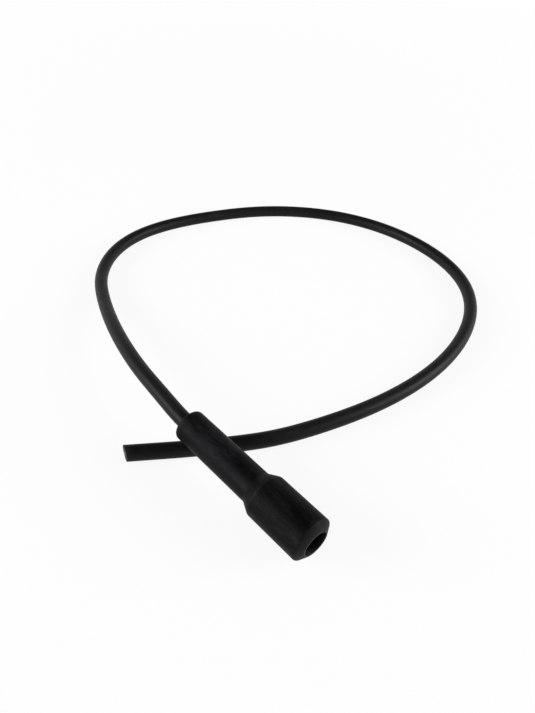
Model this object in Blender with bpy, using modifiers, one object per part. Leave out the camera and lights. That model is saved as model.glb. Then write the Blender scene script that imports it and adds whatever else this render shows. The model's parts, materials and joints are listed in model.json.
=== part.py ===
# Straight rubber spark plug cap on its high tension lead, lying on a flat surface.
# Metres, +Z up. The surface is at z = 0 and +X runs along the cap in plan, towards the plug's end.
# The origin is on the surface under the middle of the cap. Depths into the cap are measured
# back along its own axis, from the flat rim round its mouth.

import math

import bmesh
import bpy
import numpy as np
from mathutils import Matrix, Vector

# Gaps between neighbouring pieces, and under the lead where it lies on the surface
FIT_GAP = 0.0003
SURFACE_GAP = 0.0001

# High tension lead
LEAD_DIAMETER = 0.0070
CONDUCTOR_DIAMETER = 0.0015
STRIPPED_SETBACK = 0.0005

# Outside of the rubber boot, from the mouth to the lead's end
RIM_WIDTH = 0.0006
LIP_LENGTH = 0.0021
BARREL_DIAMETER = 0.0188
BARREL_LENGTH = 0.0241
SHOULDER_LENGTH = 0.0048
SLEEVE_DIAMETER = 0.0140
SLEEVE_LENGTH = 0.0410
RIM_ROUND = 0.0002
LIP_ROUND = 0.0008
SHOULDER_ROUND = 0.0020
SLEEVE_END_ROUND = 0.0011

# Inside of the rubber boot
INSULATOR_BORE = 0.0106
SOCKET_DEPTH = 0.0215
SOCKET_TAPER_LENGTH = 0.0015
SEAL_RIB_COUNT = 3
SEAL_RIB_HEIGHT = 0.0004
SEAL_RIB_WIDTH = 0.0016
SEAL_RIB_CREST_WIDTH = 0.0004
SEAL_RIB_PITCH = 0.0042
FIRST_SEAL_RIB = 0.0050
RETAINING_RIDGE_BORE = 0.0052
LEAD_BORE_STEP = 0.0006

# Snap terminal, rolled from one strip of sheet
SHEET = 0.0004
PLUG_NUT_DIAMETER = 0.00635
NUT_PLAY = 0.000075
CUP_SETBACK = 0.0005
CUP_LENGTH = 0.0110
CUP_FLARE = 0.0004
CUP_FLARE_LENGTH = 0.0009
GROOVE_DEPTH = 0.00025
GROOVE_WIDTH = 0.0014
GROOVE_SLOPE = 0.0003
GROOVE_FROM_CUP_EDGE = 0.0048
CUP_TAPER_LENGTH = 0.0022
WIRE_CRIMP_LENGTH = 0.0040
CRIMP_STEP_LENGTH = 0.0020
LEAD_CRIMP_LENGTH = 0.0080
SEAM_WIDTH = 0.0008
FINGER_SLOT_WIDTH = 0.0006
FINGER_SLOT_LENGTH = 0.0085
WING_GAP = 0.0010
WINDOW_ABOVE_AXIS = 0.0003

# Snap ring that squeezes the terminal's fingers
RING_WIRE_DIAMETER = 0.0008
RING_OPENING = math.radians(60)

# The lead's route after it leaves the cap: x, y and how far it is still above where it will lie
UNDER_SLEEVE_X = -0.0326
STRAIGHT_OUT = 0.0030
ROUTE = [
    (-0.0551, 0.0016, 0.0121),
    (-0.0736, 0.0045, 0.0117),
    (-0.0956, 0.0099, 0.0099),
    (-0.1232, 0.0194, 0.0063),
    (-0.1395, 0.0262, 0.0039),
    (-0.1566, 0.0343, 0.0017),
    (-0.1722, 0.0436, 0.0003),
    (-0.1843, 0.0544, 0.0),
    (-0.1936, 0.0669, 0.0),
    (-0.2022, 0.0918, 0.0),
    (-0.2011, 0.1191, 0.0),
    (-0.1934, 0.1463, 0.0),
    (-0.1818, 0.1717, 0.0),
    (-0.1649, 0.1937, 0.0),
    (-0.1432, 0.2106, 0.0),
    (-0.1175, 0.2207, 0.0),
    (-0.0894, 0.2231, 0.0),
    (-0.0618, 0.2178, 0.0),
    (-0.0376, 0.2049, 0.0),
    (-0.0193, 0.1851, 0.0),
    (-0.0070, 0.1602, 0.0),
    (-0.0002, 0.1325, 0.0),
    (0.0013, 0.1041, 0.0),
    (-0.0017, 0.0764, 0.0),
    (-0.0083, 0.0495, 0.0),
    (-0.0168, 0.0268, 0.0),
    (-0.0250, 0.0121, 0.0),
    (UNDER_SLEEVE_X, 0.0, 0.0),
    (-0.0402, -0.0112, 0.0),
    (-0.0483, -0.0229, 0.0),
]
ROUTE_STEP = 0.015

# Fineness of the round shapes
BOOT_SEGMENTS = 48
TERMINAL_SEGMENTS = 24
RING_POINTS = 20
LEAD_BEVEL_RESOLUTION = 4
WIRE_BEVEL_RESOLUTION = 2
FILLET_STEPS = 3
SMOOTH_ANGLE = math.radians(40)
MERGE_DISTANCE = 0.00001

# Sizes that follow
LEAD_RADIUS = LEAD_DIAMETER / 2
LYING_HEIGHT = SURFACE_GAP + LEAD_RADIUS
LEAD_BORE_RADIUS = LEAD_RADIUS + FIT_GAP
CONDUCTOR_BORE_RADIUS = CONDUCTOR_DIAMETER / 2 + FIT_GAP
SLEEVE_RADIUS = SLEEVE_DIAMETER / 2
BARREL_RADIUS = BARREL_DIAMETER / 2
SOCKET_RADIUS = INSULATOR_BORE / 2
RIM_RADIUS = SOCKET_RADIUS + RIM_WIDTH

BARREL_END = LIP_LENGTH + BARREL_LENGTH
SHOULDER_END = BARREL_END + SHOULDER_LENGTH
BOOT_LENGTH = SHOULDER_END + SLEEVE_LENGTH

# Middle of the sheet, in each length of the terminal
CUP_RADIUS = PLUG_NUT_DIAMETER / 2 + NUT_PLAY + SHEET / 2
GROOVE_RADIUS = CUP_RADIUS - GROOVE_DEPTH
WIRE_CRIMP_RADIUS = CONDUCTOR_BORE_RADIUS + SHEET / 2
LEAD_CRIMP_RADIUS = LEAD_BORE_RADIUS + SHEET / 2

CUP_START = SOCKET_DEPTH + SOCKET_TAPER_LENGTH + CUP_SETBACK
GROOVE_MIDDLE = CUP_START + GROOVE_FROM_CUP_EDGE
CUP_END = CUP_START + CUP_LENGTH
CUP_TAPER_END = CUP_END + CUP_TAPER_LENGTH
WIRE_CRIMP_END = CUP_TAPER_END + WIRE_CRIMP_LENGTH
CRIMP_STEP_END = WIRE_CRIMP_END + CRIMP_STEP_LENGTH
LEAD_CRIMP_END = CRIMP_STEP_END + LEAD_CRIMP_LENGTH

RING_RADIUS = GROOVE_RADIUS + SHEET / 2 + FIT_GAP + RING_WIRE_DIAMETER / 2
CUP_CHAMBER_RADIUS = RING_RADIUS + RING_WIRE_DIAMETER / 2 + FIT_GAP
CRIMP_CHAMBER_RADIUS = LEAD_CRIMP_RADIUS + SHEET / 2 + FIT_GAP
RIDGE_RADIUS = RETAINING_RIDGE_BORE / 2

LEAD_START = CRIMP_STEP_END + STRIPPED_SETBACK
CONDUCTOR_START = CUP_TAPER_END + FIT_GAP


def clear_scene():
    for item in list(bpy.data.objects):
        bpy.data.objects.remove(item, do_unlink=True)


def new_collection(name):
    collection = bpy.data.collections.new(name)
    bpy.context.scene.collection.children.link(collection)
    return collection


def principled(name, colour, roughness, metallic=0.0):
    material = bpy.data.materials.new(name)
    material.use_nodes = True
    shader = material.node_tree.nodes["Principled BSDF"]
    shader.inputs["Base Color"].default_value = (*colour, 1.0)
    shader.inputs["Roughness"].default_value = roughness
    shader.inputs["Metallic"].default_value = metallic
    return material


def boot_rubber():
    return principled("boot_rubber", (0.022, 0.022, 0.024), 0.55)


def lead_rubber():
    return principled("lead_rubber", (0.018, 0.018, 0.019), 0.45)


def plated_brass():
    return principled("plated_brass", (0.62, 0.56, 0.42), 0.32, 1.0)


def spring_steel():
    return principled("spring_steel", (0.50, 0.50, 0.52), 0.28, 1.0)


def tinned_copper():
    return principled("tinned_copper", (0.60, 0.48, 0.40), 0.38, 1.0)


def filleted(corners):
    # corners are (radius, depth, fillet) round a closed outline, and each fillet becomes an arc
    outline = []
    count = len(corners)
    for index, (radius, depth, fillet) in enumerate(corners):
        corner = Vector((radius, depth))
        if fillet <= 0.0:
            outline.append(corner)
            continue
        before = Vector(corners[index - 1][:2]) - corner
        after = Vector(corners[(index + 1) % count][:2]) - corner
        half_turn = before.angle(after) / 2
        reach = min(fillet / math.tan(half_turn), 0.45 * before.length, 0.45 * after.length)
        bend = reach * math.tan(half_turn)
        middle = corner + (before.normalized() + after.normalized()).normalized() * bend / math.sin(half_turn)
        start = corner + before.normalized() * reach - middle
        end = corner + after.normalized() * reach - middle
        sweep = start.angle_signed(end)
        for step in range(FILLET_STEPS + 1):
            turn = Matrix.Rotation(-sweep * step / FILLET_STEPS, 2)
            outline.append(middle + turn @ start)
    return outline


def seal_ribs():
    # Rounded rings inside the socket that grip the plug's insulator, from the deepest to the mouth
    crest = SOCKET_RADIUS - SEAL_RIB_HEIGHT
    foot_reach = SEAL_RIB_WIDTH / 2
    crest_reach = SEAL_RIB_CREST_WIDTH / 2
    corners = []
    for index in reversed(range(SEAL_RIB_COUNT)):
        middle = FIRST_SEAL_RIB + index * SEAL_RIB_PITCH
        corners.append((SOCKET_RADIUS, middle + foot_reach, 0.0))
        corners.append((crest, middle + crest_reach, 0.0))
        corners.append((crest, middle - crest_reach, 0.0))
        corners.append((SOCKET_RADIUS, middle - foot_reach, 0.0))
    return corners


def boot_outline():
    outside = [
        (RIM_RADIUS, 0.0, RIM_ROUND),
        (BARREL_RADIUS, LIP_LENGTH, LIP_ROUND),
        (BARREL_RADIUS, BARREL_END, SHOULDER_ROUND),
        (SLEEVE_RADIUS, SHOULDER_END, SHOULDER_ROUND),
        (SLEEVE_RADIUS, BOOT_LENGTH, SLEEVE_END_ROUND),
    ]
    inside = [
        (LEAD_BORE_RADIUS, BOOT_LENGTH, 0.0),
        (LEAD_BORE_RADIUS, LEAD_CRIMP_END + FIT_GAP + LEAD_BORE_STEP, 0.0),
        (CRIMP_CHAMBER_RADIUS, LEAD_CRIMP_END + FIT_GAP, 0.0),
        (CRIMP_CHAMBER_RADIUS, CRIMP_STEP_END - FIT_GAP, 0.0),
        (RIDGE_RADIUS, WIRE_CRIMP_END, 0.0),
        (RIDGE_RADIUS, CUP_TAPER_END, 0.0),
        (CUP_CHAMBER_RADIUS, CUP_END + FIT_GAP, 0.0),
        (CUP_CHAMBER_RADIUS, SOCKET_DEPTH + SOCKET_TAPER_LENGTH, 0.0),
        (SOCKET_RADIUS, SOCKET_DEPTH, 0.0),
    ]
    return filleted(outside + inside + seal_ribs() + [(SOCKET_RADIUS, 0.0, RIM_ROUND)])


def resting_place(outline):
    # The cap leans on its barrel's front edge and on the lead that crosses under its sleeve
    top_of_lead = SURFACE_GAP + LEAD_DIAMETER
    tilt = 0.0
    for _ in range(20):
        run, rise = math.cos(tilt), math.sin(tilt)
        reach = [-point.y * run + side * point.x * rise for point in outline for side in (1, -1)]
        low = min(point.y * rise - point.x * run for point in outline)
        mouth_x = -(max(reach) + min(reach)) / 2
        mouth_z = -low
        axis_height = top_of_lead + FIT_GAP + SLEEVE_RADIUS / run
        tilt = math.atan((axis_height - mouth_z) / (mouth_x - UNDER_SLEEVE_X))
    return mouth_x, mouth_z, tilt


def place_axis(collection, mouth_x, mouth_z, tilt):
    axis = bpy.data.objects.new("cap_axis", None)
    axis.empty_display_size = BARREL_DIAMETER
    axis.location = (mouth_x, 0.0, mouth_z)
    axis.rotation_euler = (0.0, math.pi / 2 + tilt, 0.0)
    collection.objects.link(axis)
    return axis


def add_object(name, mesh, material, collection, axis=None):
    item = bpy.data.objects.new(name, mesh)
    mesh.materials.append(material)
    item.parent = axis
    collection.objects.link(item)
    return item


def turned(name, outline, closed, segments, material, collection, axis):
    # The outline is (radius, depth) and depth runs down the object's own Z
    shape = bmesh.new()
    points = [shape.verts.new((point[0], 0.0, -point[1])) for point in outline]
    pairs = list(zip(points, points[1:]))
    if closed:
        pairs.append((points[-1], points[0]))
    for pair in pairs:
        shape.edges.new(pair)
    mesh = bpy.data.meshes.new(name)
    shape.to_mesh(mesh)
    shape.free()
    item = add_object(name, mesh, material, collection, axis)
    screw = item.modifiers.new("turn", "SCREW")
    screw.axis = "Z"
    screw.angle = 2 * math.pi
    screw.steps = segments
    screw.render_steps = segments
    screw.use_merge_vertices = True
    screw.merge_threshold = MERGE_DISTANCE
    return item


def evaluated_mesh(item):
    bpy.context.view_layer.update()
    evaluated = item.evaluated_get(bpy.context.evaluated_depsgraph_get())
    return bpy.data.meshes.new_from_object(evaluated)


def keep_result(item):
    # The modifiers' result becomes the mesh, round faces smooth and corners crisp
    mesh = evaluated_mesh(item)
    item.modifiers.clear()
    item.data = mesh
    mesh.shade_smooth()
    mesh.set_sharp_from_angle(angle=SMOOTH_ANGLE)


def cut(item, cutter):
    cutter.hide_render = True
    cutter.display_type = "WIRE"
    boolean = item.modifiers.new(cutter.name, "BOOLEAN")
    boolean.operation = "DIFFERENCE"
    boolean.solver = "EXACT"
    boolean.object = cutter


def box_cutter(name, low, high, cutters, axis):
    # low and high are (x, y, depth) in the cap's own axes, where -X is up
    shape = bmesh.new()
    bmesh.ops.create_cube(shape, size=1.0)
    centre = [(a + b) / 2 for a, b in zip(low, high)]
    size = [b - a for a, b in zip(low, high)]
    bmesh.ops.scale(shape, vec=size, verts=shape.verts)
    bmesh.ops.translate(shape, vec=(centre[0], centre[1], -centre[2]), verts=shape.verts)
    mesh = bpy.data.meshes.new(name)
    shape.to_mesh(mesh)
    shape.free()
    item = bpy.data.objects.new(name, mesh)
    item.parent = axis
    cutters.objects.link(item)
    return item


def poly_curve(name, points, radius, resolution, collection, axis=None):
    curve = bpy.data.curves.new(name, "CURVE")
    curve.dimensions = "3D"
    curve.twist_mode = "Z_UP"
    curve.bevel_depth = radius
    curve.bevel_resolution = resolution
    curve.use_fill_caps = True
    spline = curve.splines.new("POLY")
    spline.points.add(len(points) - 1)
    for place, point in zip(spline.points, points):
        place.co = (*point, 1.0)
    item = bpy.data.objects.new(name, curve)
    item.parent = axis
    collection.objects.link(item)
    return item


def curve_to_mesh(curve_item, collection):
    mesh = evaluated_mesh(curve_item)
    shape = bmesh.new()
    shape.from_mesh(mesh)
    bmesh.ops.remove_doubles(shape, verts=shape.verts, dist=MERGE_DISTANCE)
    bmesh.ops.recalc_face_normals(shape, faces=shape.faces)
    shape.to_mesh(mesh)
    shape.free()
    name = curve_item.name
    place = curve_item.matrix_world.copy()
    bpy.data.objects.remove(curve_item, do_unlink=True)
    item = bpy.data.objects.new(name, mesh)
    item.matrix_world = place
    collection.objects.link(item)
    return item


def smooth_route(points, step):
    # Natural cubic curve through the points, read at even steps along its length
    knots = np.array(points)
    spans = np.linalg.norm(np.diff(knots, axis=0), axis=1)
    along = np.concatenate(([0.0], np.cumsum(spans)))
    count = len(knots)
    system = np.eye(count)
    target = np.zeros_like(knots)
    for i in range(1, count - 1):
        before, after = spans[i - 1], spans[i]
        system[i, i - 1:i + 2] = (before, 2 * (before + after), after)
        target[i] = 6 * ((knots[i + 1] - knots[i]) / after - (knots[i] - knots[i - 1]) / before)
    bends = np.linalg.solve(system, target)
    places = np.linspace(0.0, along[-1], round(along[-1] / step) + 1)
    span = np.clip(np.searchsorted(along, places, side="right") - 1, 0, count - 2)
    width = spans[span][:, None]
    left = (places - along[span])[:, None]
    right = width - left
    curve = (bends[span] * right ** 3 + bends[span + 1] * left ** 3) / (6 * width)
    curve += (knots[span] / width - bends[span] * width / 6) * right
    curve += (knots[span + 1] / width - bends[span + 1] * width / 6) * left
    return [Vector(point) for point in curve]


def lead_route(mouth_x, mouth_z, tilt, start_depth):
    # Straight inside the sleeve and for a little way out of it, then round the loop on the surface
    backwards = Vector((-math.cos(tilt), 0.0, math.sin(tilt)))
    mouth = Vector((mouth_x, 0.0, mouth_z))
    straight_end = BOOT_LENGTH + STRAIGHT_OUT
    straight = [mouth + backwards * depth for depth in np.linspace(LEAD_START, straight_end, 5)]
    laid = [(x, y, LYING_HEIGHT + lift) for x, y, lift in ROUTE]
    route = smooth_route([tuple(point) for point in straight] + laid, ROUTE_STEP)
    for point in route:
        point.z = max(point.z, LYING_HEIGHT)
    if start_depth != LEAD_START:
        route.insert(0, mouth + backwards * start_depth)
    return route


def stretched(route, extra):
    # The same route, carried straight on past both ends
    first = route[0] + (route[0] - route[1]).normalized() * extra
    last = route[-1] + (route[-1] - route[-2]).normalized() * extra
    return [first] + route + [last]


def make_boot(outline, collection, axis):
    boot = turned("boot", outline, True, BOOT_SEGMENTS, boot_rubber(), collection, axis)
    keep_result(boot)


def terminal_outline():
    # Middle of the sheet, from the cup's flared edge to the end of the crimp on the lead
    groove_edge = GROOVE_WIDTH / 2
    return [
        (CUP_RADIUS + CUP_FLARE, CUP_START),
        (CUP_RADIUS, CUP_START + CUP_FLARE_LENGTH),
        (CUP_RADIUS, GROOVE_MIDDLE - groove_edge - GROOVE_SLOPE),
        (GROOVE_RADIUS, GROOVE_MIDDLE - groove_edge),
        (GROOVE_RADIUS, GROOVE_MIDDLE + groove_edge),
        (CUP_RADIUS, GROOVE_MIDDLE + groove_edge + GROOVE_SLOPE),
        (CUP_RADIUS, CUP_END),
        (WIRE_CRIMP_RADIUS, CUP_TAPER_END),
        (WIRE_CRIMP_RADIUS, WIRE_CRIMP_END),
        (LEAD_CRIMP_RADIUS, CRIMP_STEP_END),
        (LEAD_CRIMP_RADIUS, LEAD_CRIMP_END),
    ]


def make_terminal(collection, cutters, axis):
    brass = plated_brass()
    terminal = turned("terminal", terminal_outline(), False, TERMINAL_SEGMENTS, brass, collection, axis)
    wall = terminal.modifiers.new("sheet", "SOLIDIFY")
    wall.thickness = SHEET
    wall.offset = 0.0
    wall.use_even_offset = True

    outer = LEAD_CRIMP_RADIUS + CUP_FLARE + SHEET
    seam = SEAM_WIDTH / 2
    finger = FINGER_SLOT_WIDTH / 2
    wing = WING_GAP / 2
    window = -WINDOW_ABOVE_AXIS
    wing_middle = (CRIMP_STEP_END + LEAD_CRIMP_END) / 2
    before_cup = CUP_START - SHEET
    boxes = {
        "seam_slot": ((-outer, -seam, before_cup), (0.0, seam, LEAD_CRIMP_END + SHEET)),
        "finger_slots": ((-finger, -outer, before_cup), (finger, outer, CUP_START + FINGER_SLOT_LENGTH)),
        "cup_neck_window": ((-outer, -outer, CUP_END), (window, outer, CUP_TAPER_END)),
        "lead_neck_window": ((-outer, -outer, WIRE_CRIMP_END), (window, outer, CRIMP_STEP_END)),
        "wing_gap": ((-outer, -outer, wing_middle - wing), (window, outer, wing_middle + wing)),
    }
    for name, (low, high) in boxes.items():
        cut(terminal, box_cutter(name, low, high, cutters, axis))
    keep_result(terminal)


def make_snap_ring(collection, axis):
    start = RING_OPENING / 2
    turns = np.linspace(start, 2 * math.pi - start, RING_POINTS)
    points = [(RING_RADIUS * math.cos(turn), RING_RADIUS * math.sin(turn), -GROOVE_MIDDLE) for turn in turns]
    wire_radius = RING_WIRE_DIAMETER / 2
    curve = poly_curve("snap_ring", points, wire_radius, WIRE_BEVEL_RESOLUTION, collection, axis)
    ring = curve_to_mesh(curve, collection)
    ring.data.materials.append(spring_steel())
    keep_result(ring)


def make_insulation(collection, cutters, route):
    curve = poly_curve("lead_insulation", route, LEAD_RADIUS, LEAD_BEVEL_RESOLUTION, collection)
    insulation = curve_to_mesh(curve, collection)
    insulation.data.materials.append(lead_rubber())
    past_ends = stretched(route, LEAD_RADIUS)
    bore = poly_curve("conductor_bore", past_ends, CONDUCTOR_BORE_RADIUS, WIRE_BEVEL_RESOLUTION, cutters)
    cut(insulation, curve_to_mesh(bore, cutters))
    keep_result(insulation)


def make_conductor(collection, route):
    curve = poly_curve("lead_conductor", route, CONDUCTOR_DIAMETER / 2, WIRE_BEVEL_RESOLUTION, collection)
    conductor = curve_to_mesh(curve, collection)
    conductor.data.materials.append(tinned_copper())
    keep_result(conductor)


def build():
    clear_scene()
    collection = new_collection("spark_plug_cap")
    cutters = new_collection("cutters")
    outline = boot_outline()
    mouth_x, mouth_z, tilt = resting_place(outline)
    axis = place_axis(collection, mouth_x, mouth_z, tilt)
    make_boot(outline, collection, axis)
    make_terminal(collection, cutters, axis)
    make_snap_ring(collection, axis)
    make_insulation(collection, cutters, lead_route(mouth_x, mouth_z, tilt, LEAD_START))
    make_conductor(collection, lead_route(mouth_x, mouth_z, tilt, CONDUCTOR_START))


build()
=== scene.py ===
import json
import math

import bmesh
import bpy
import numpy as np
from mathutils import Matrix, Vector, noise


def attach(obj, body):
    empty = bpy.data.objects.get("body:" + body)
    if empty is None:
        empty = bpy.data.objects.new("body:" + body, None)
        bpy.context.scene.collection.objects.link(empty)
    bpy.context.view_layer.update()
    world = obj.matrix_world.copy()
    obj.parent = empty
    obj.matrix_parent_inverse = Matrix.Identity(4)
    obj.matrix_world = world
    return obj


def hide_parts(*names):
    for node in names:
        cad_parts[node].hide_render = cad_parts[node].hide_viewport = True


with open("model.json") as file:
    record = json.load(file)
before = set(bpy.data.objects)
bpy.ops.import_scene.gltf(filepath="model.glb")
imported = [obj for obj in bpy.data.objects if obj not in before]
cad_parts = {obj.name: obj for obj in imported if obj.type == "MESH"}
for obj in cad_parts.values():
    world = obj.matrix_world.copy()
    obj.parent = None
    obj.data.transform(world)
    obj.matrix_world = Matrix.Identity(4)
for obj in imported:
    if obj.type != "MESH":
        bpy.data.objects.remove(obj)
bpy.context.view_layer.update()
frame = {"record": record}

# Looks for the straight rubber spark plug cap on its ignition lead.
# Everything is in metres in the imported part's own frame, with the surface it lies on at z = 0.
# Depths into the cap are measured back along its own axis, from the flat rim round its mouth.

# Where the cap lies: the middle of its mouth, and how far its axis dips towards the mouth.
# The rim's mount is beside the axis and level with it.
mouth_rim = {mount["name"]: mount for mount in frame["record"]["mounts"]}["mouth_rim"]
MOUTH = Vector((mouth_rim["pos_m"][0], 0.0, mouth_rim["pos_m"][2]))
TILT = math.atan2(-mouth_rim["axis"][2], mouth_rim["axis"][0])
CAP_PLACE = Matrix.Translation(MOUTH) @ Matrix.Rotation(math.pi / 2 + TILT, 4, "Y")
BACKWARDS = Vector((-math.cos(TILT), 0.0, math.sin(TILT)))

# Gaps between neighbouring pieces, and under the lead where it lies on the surface
FIT_GAP = 0.0003
SURFACE_GAP = 0.0001

# Lead
LEAD_DIAMETER = 0.0070
CONDUCTOR_DIAMETER = 0.0015
STRIPPED_SETBACK = 0.0005
STRAIGHT_OUT = 0.0030
STRAIGHT_POINTS = 5

# Its jacket, with a closer bore than the solid's, and its strands, a little thin for their room
JACKET_BORE_RADIUS = 0.00090
JACKET_SIDES = 48
JACKET_STEP = 0.0025
JACKET_EDGE_ROUND = 0.00014
STRAND_RADIUS = 0.00025
STRAND_SHRINK = 0.98
STRAND_SIDES = 10
STRAND_STEP = 0.0015
STRAND_LAY = 0.0125
OUTER_STRANDS = 6

# Cut end of the lead: how much its face leans, how much further out it is than the solid's,
# how near the end a point moves with it, and how rubbed its edge is
CUT_SLANT = 0.26
CUT_FURTHER_OUT = 0.00036
CUT_REACH = 0.0006
CUT_EDGE_WEAR = 0.2
# Points of the jacket that are further from its middle than this are on its outside
OUTSIDE_FROM_RADIUS = 0.003

# Outside of the rubber boot, from the mouth to the lead's end
RIM_WIDTH = 0.0006
LIP_LENGTH = 0.0021
BARREL_DIAMETER = 0.0188
BARREL_LENGTH = 0.0241
SHOULDER_LENGTH = 0.0048
SLEEVE_DIAMETER = 0.0140
SLEEVE_LENGTH = 0.0410

# Inside of the rubber boot
INSULATOR_BORE = 0.0106
SOCKET_DEPTH = 0.0215
SOCKET_TAPER_LENGTH = 0.0015
SEAL_RIB_COUNT = 3
SEAL_RIB_HEIGHT = 0.0004
SEAL_RIB_WIDTH = 0.0016
SEAL_RIB_CREST_WIDTH = 0.0004
SEAL_RIB_PITCH = 0.0042
FIRST_SEAL_RIB = 0.0050
RETAINING_RIDGE_BORE = 0.0052
LEAD_BORE_STEP = 0.0006

# How far each rounding of the boot reaches along both sides of its corner
SHARP = 0.0
RIM_ROUND = 0.00012
LIP_ROUND = 0.00045
SHOULDER_ROUND = 0.00055
SLEEVE_END_ROUND = 0.00110
LEAD_BORE_ROUND = 0.00025
RIDGE_ROUND = 0.0002
RIB_FOOT_ROUND = 0.0002
RIB_CREST_ROUND = 0.0001

# Snap terminal, rolled from one strip of sheet, and the ring that squeezes its fingers
SHEET = 0.0004
PLUG_NUT_DIAMETER = 0.00635
NUT_PLAY = 0.000075
CUP_SETBACK = 0.0005
CUP_LENGTH = 0.0110
CUP_FLARE = 0.0004
CUP_FLARE_LENGTH = 0.0009
GROOVE_DEPTH = 0.00025
GROOVE_WIDTH = 0.0014
GROOVE_SLOPE = 0.0003
GROOVE_FROM_CUP_EDGE = 0.0048
CUP_TAPER_LENGTH = 0.0022
WIRE_CRIMP_LENGTH = 0.0040
CRIMP_STEP_LENGTH = 0.0020
LEAD_CRIMP_LENGTH = 0.0080
SEAM_WIDTH = 0.0008
FINGER_SLOT_WIDTH = 0.0006
FINGER_SLOT_LENGTH = 0.0085
WING_GAP = 0.0010
WINDOW_ABOVE_AXIS = 0.0003
RING_WIRE_DIAMETER = 0.0008
RING_OPENING = math.radians(60)
RING_END_ROUND = 0.00012

# Fineness of the shapes; rings cross the boot at even depths, so that its skin can be uneven
BOOT_SIDES = 144
FIRST_BOOT_RING = 0.0036
LAST_BOOT_RING = 0.0705
BOOT_RING_PITCH = 0.0015
TERMINAL_SIDES = 72
RING_POINTS = 73
RING_SIDES = 16
SOFT_CREASE = math.radians(38)
SHEET_CREASE = math.radians(30)

# Distances under which two points count as one
SAME_PLACE = 0.000001
SEAM_MERGE = 0.0000002
OUTLINE_MERGE = 0.000002
BOOT_RING_MERGE = 0.000005

# Sizes that follow
LEAD_RADIUS = LEAD_DIAMETER / 2
LYING_HEIGHT = SURFACE_GAP + LEAD_RADIUS
LEAD_BORE_RADIUS = LEAD_RADIUS + FIT_GAP
CONDUCTOR_BORE_RADIUS = CONDUCTOR_DIAMETER / 2 + FIT_GAP
SLEEVE_RADIUS = SLEEVE_DIAMETER / 2
BARREL_RADIUS = BARREL_DIAMETER / 2
SOCKET_RADIUS = INSULATOR_BORE / 2
RIB_CREST_RADIUS = SOCKET_RADIUS - SEAL_RIB_HEIGHT
RIDGE_RADIUS = RETAINING_RIDGE_BORE / 2
RIM_RADIUS = SOCKET_RADIUS + RIM_WIDTH

BARREL_END = LIP_LENGTH + BARREL_LENGTH
SHOULDER_END = BARREL_END + SHOULDER_LENGTH
BOOT_LENGTH = SHOULDER_END + SLEEVE_LENGTH

# Middle of the sheet, in each length of the terminal
CUP_RADIUS = PLUG_NUT_DIAMETER / 2 + NUT_PLAY + SHEET / 2
GROOVE_RADIUS = CUP_RADIUS - GROOVE_DEPTH
WIRE_CRIMP_RADIUS = CONDUCTOR_BORE_RADIUS + SHEET / 2
LEAD_CRIMP_RADIUS = LEAD_BORE_RADIUS + SHEET / 2

CUP_START = SOCKET_DEPTH + SOCKET_TAPER_LENGTH + CUP_SETBACK
GROOVE_MIDDLE = CUP_START + GROOVE_FROM_CUP_EDGE
CUP_END = CUP_START + CUP_LENGTH
CUP_TAPER_END = CUP_END + CUP_TAPER_LENGTH
WIRE_CRIMP_END = CUP_TAPER_END + WIRE_CRIMP_LENGTH
CRIMP_STEP_END = WIRE_CRIMP_END + CRIMP_STEP_LENGTH
LEAD_CRIMP_END = CRIMP_STEP_END + LEAD_CRIMP_LENGTH
LEAD_START = CRIMP_STEP_END + STRIPPED_SETBACK
CONDUCTOR_START = CUP_TAPER_END + FIT_GAP

RING_RADIUS = GROOVE_RADIUS + SHEET / 2 + FIT_GAP + RING_WIRE_DIAMETER / 2
CUP_CHAMBER_RADIUS = RING_RADIUS + RING_WIRE_DIAMETER / 2 + FIT_GAP
CRIMP_CHAMBER_RADIUS = LEAD_CRIMP_RADIUS + SHEET / 2 + FIT_GAP

# The lead's route after it leaves the cap: x, y and how far it is still above where it will lie
LEAD_ROUTE = [
    (-0.0551, 0.0016, 0.0121),
    (-0.0736, 0.0045, 0.0117),
    (-0.0956, 0.0099, 0.0099),
    (-0.1232, 0.0194, 0.0063),
    (-0.1395, 0.0262, 0.0039),
    (-0.1566, 0.0343, 0.0017),
    (-0.1722, 0.0436, 0.0003),
    (-0.1843, 0.0544, 0.0),
    (-0.1936, 0.0669, 0.0),
    (-0.2022, 0.0918, 0.0),
    (-0.2011, 0.1191, 0.0),
    (-0.1934, 0.1463, 0.0),
    (-0.1818, 0.1717, 0.0),
    (-0.1649, 0.1937, 0.0),
    (-0.1432, 0.2106, 0.0),
    (-0.1175, 0.2207, 0.0),
    (-0.0894, 0.2231, 0.0),
    (-0.0618, 0.2178, 0.0),
    (-0.0376, 0.2049, 0.0),
    (-0.0193, 0.1851, 0.0),
    (-0.0070, 0.1602, 0.0),
    (-0.0002, 0.1325, 0.0),
    (0.0013, 0.1041, 0.0),
    (-0.0017, 0.0764, 0.0),
    (-0.0083, 0.0495, 0.0),
    (-0.0168, 0.0268, 0.0),
    (-0.0250, 0.0121, 0.0),
    (-0.0326, 0.0, 0.0),
    (-0.0402, -0.0112, 0.0),
    (-0.0483, -0.0229, 0.0),
]

# Camera: the photograph's height and focal length are in pixels, and the sensor is in millimetres
PHOTO_HEIGHT_IN_PIXELS = 713
FOCAL_LENGTH_IN_PIXELS = 663.87
SENSOR_WIDTH = 36.0
CAMERA_PLACE = (0.12275, -0.11839, 0.20178)
CAMERA_AHEAD = (-0.556611, 0.565926, -0.608202)
CAMERA_ROLL = math.radians(-3.679)
NEAREST_SEEN = 0.01
FURTHEST_SEEN = 20.0

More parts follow.
